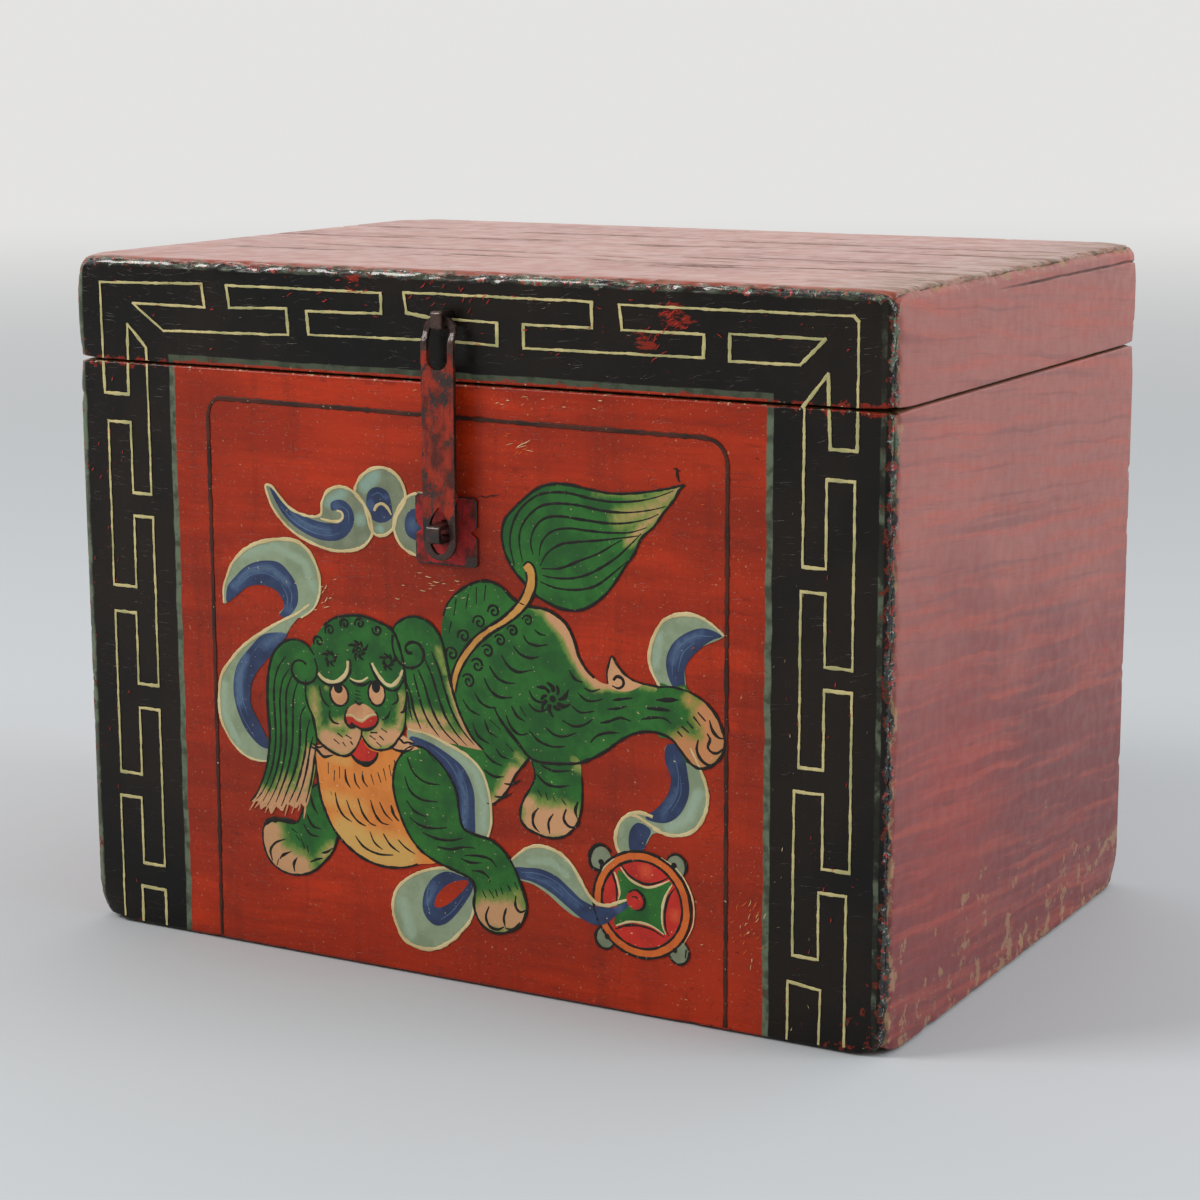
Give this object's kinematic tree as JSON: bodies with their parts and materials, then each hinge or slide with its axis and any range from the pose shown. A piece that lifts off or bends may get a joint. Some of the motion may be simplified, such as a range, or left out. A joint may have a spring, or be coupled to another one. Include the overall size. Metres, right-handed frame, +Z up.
{
  "type": "painted trunk",
  "caption": "Low wooden trunk with a painted front, a lid on two iron loop hinges at the back, and an iron hasp over a staple for a padlock.",
  "frame": {"origin": "centre of the underside, on the middle bottom plank", "axes": "+Z up, front faces -Y, +X to the right as seen from the front"},
  "size_m": [0.6, 0.4553, 0.462],
  "materials": {
    "front_paint": "painted red panel with a black border, satin, chipped at the edges",
    "side_paint": "thin faded brick-red paint with brush streaks, matt",
    "top_paint": "thin faded pink-red paint worn to the grain",
    "bare_wood": "rough sawn, aged",
    "painted_iron": "red paint worn through to dark iron at the edges",
    "forged_iron": "dark, hammered, polished on its edges by use"
  },
  "bodies": {
    "body": {"front_board_lower": "front_paint", "front_board_upper": "front_paint", "back_board_lower": "side_paint", "back_board_upper": "side_paint", "left_board_lower": "side_paint", "left_board_upper": "side_paint", "right_board_lower": "side_paint", "right_board_upper": "side_paint", "bottom_plank_1": "bare_wood", "bottom_plank_2": "bare_wood", "bottom_plank_3": "bare_wood", "bottom_nail_1": "forged_iron", "bottom_nail_2": "forged_iron", "bottom_nail_3": "forged_iron", "bottom_nail_4": "forged_iron", "bottom_nail_5": "forged_iron", "bottom_nail_6": "forged_iron", "bottom_nail_7": "forged_iron", "bottom_nail_8": "forged_iron", "bottom_nail_9": "forged_iron", "bottom_nail_10": "forged_iron", "bottom_nail_11": "forged_iron", "bottom_nail_12": "forged_iron", "lock_plate": "painted_iron", "lock_staple": "forged_iron", "hinge_eye_left": "forged_iron", "hinge_eye_right": "forged_iron"},
    "lid": {"lid_front_rail": "front_paint", "lid_back_rail": "side_paint", "lid_left_rail": "side_paint", "lid_right_rail": "side_paint", "lid_top_plank_1": "top_paint", "lid_top_plank_2": "top_paint", "lid_top_plank_3": "top_paint", "top_nail_1": "forged_iron", "top_nail_2": "forged_iron", "top_nail_3": "forged_iron", "top_nail_4": "forged_iron", "top_nail_5": "forged_iron", "top_nail_6": "forged_iron", "top_nail_7": "forged_iron", "top_nail_8": "forged_iron", "top_nail_9": "forged_iron", "top_nail_10": "forged_iron", "top_nail_11": "forged_iron", "top_nail_12": "forged_iron", "hasp_staple": "forged_iron", "hinge_loop_left": "forged_iron", "hinge_loop_right": "forged_iron"},
    "hasp": {"hasp_strap": "painted_iron"}
  },
  "joints": [
    {"name": "lid_hinge", "type": "hinge", "parent": "body", "child": "lid", "pos_m": [0, 0.2175, 0.392], "axis": [-1, 0, 0], "range_deg": [0, 110]},
    {"name": "hasp_swing", "type": "hinge", "parent": "lid", "child": "hasp", "pos_m": [-0.004, -0.218, 0.432], "axis": [-1, 0, 0], "range_deg": [-2.5, 170]}
  ]
}
